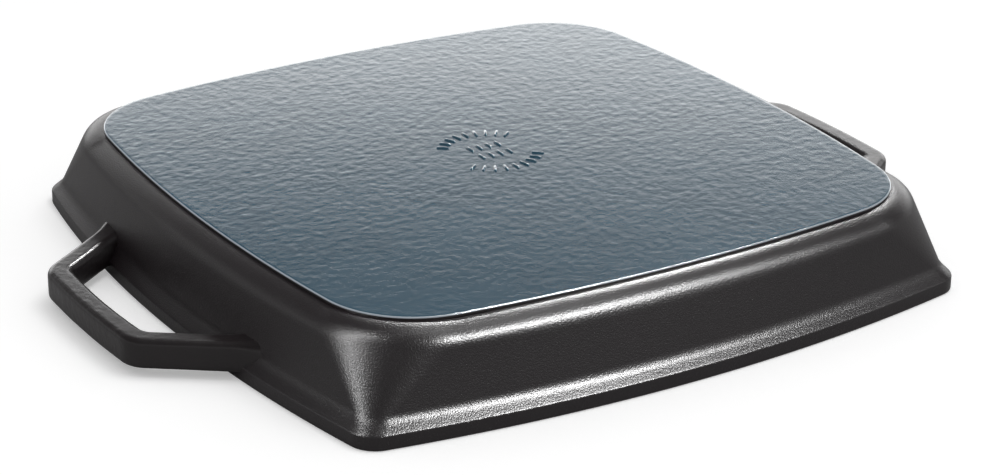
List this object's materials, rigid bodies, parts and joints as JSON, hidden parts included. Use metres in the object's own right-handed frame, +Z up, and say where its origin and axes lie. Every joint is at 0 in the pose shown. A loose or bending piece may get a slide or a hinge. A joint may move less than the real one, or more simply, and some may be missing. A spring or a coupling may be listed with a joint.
{
  "type": "square grill pan",
  "caption": "Square enamelled cast-iron grill pan with flared sides, a ridged cooking floor and two loop handles, lying upside down on its rim.",
  "frame": {"origin": "centre of the rim's face, which the pan lies on, upside down as pictured", "axes": "+Z up through the base, +X from handle to handle, +Y across the pan; the mouth opens towards -Z"},
  "size_m": [0.4016, 0.33, 0.045],
  "materials": {
    "black_enamel": "satin black vitreous enamel with a fine grain, over cast iron",
    "blue_grey_enamel": "glossy blue-grey vitreous enamel with a hammered surface",
    "matt_black_enamel": "matt black vitreous enamel, over cast iron"
  },
  "bodies": {
    "root": {"pan_shell": "black_enamel", "rim_band": "black_enamel", "left_handle": "black_enamel", "right_handle": "black_enamel", "base_plateau": "black_enamel", "base_enamel": "blue_grey_enamel", "grill_ridge_01": "matt_black_enamel", "grill_ridge_02": "matt_black_enamel", "grill_ridge_03": "matt_black_enamel", "grill_ridge_04": "matt_black_enamel", "grill_ridge_05": "matt_black_enamel", "grill_ridge_06": "matt_black_enamel", "grill_ridge_07": "matt_black_enamel", "grill_ridge_08": "matt_black_enamel", "grill_ridge_09": "matt_black_enamel", "grill_ridge_10": "matt_black_enamel", "grill_ridge_11": "matt_black_enamel", "grill_ridge_12": "matt_black_enamel", "grill_ridge_13": "matt_black_enamel", "grill_ridge_14": "matt_black_enamel", "grill_ridge_15": "matt_black_enamel", "grill_ridge_16": "matt_black_enamel", "grill_ridge_17": "matt_black_enamel"}
  },
  "joints": []
}
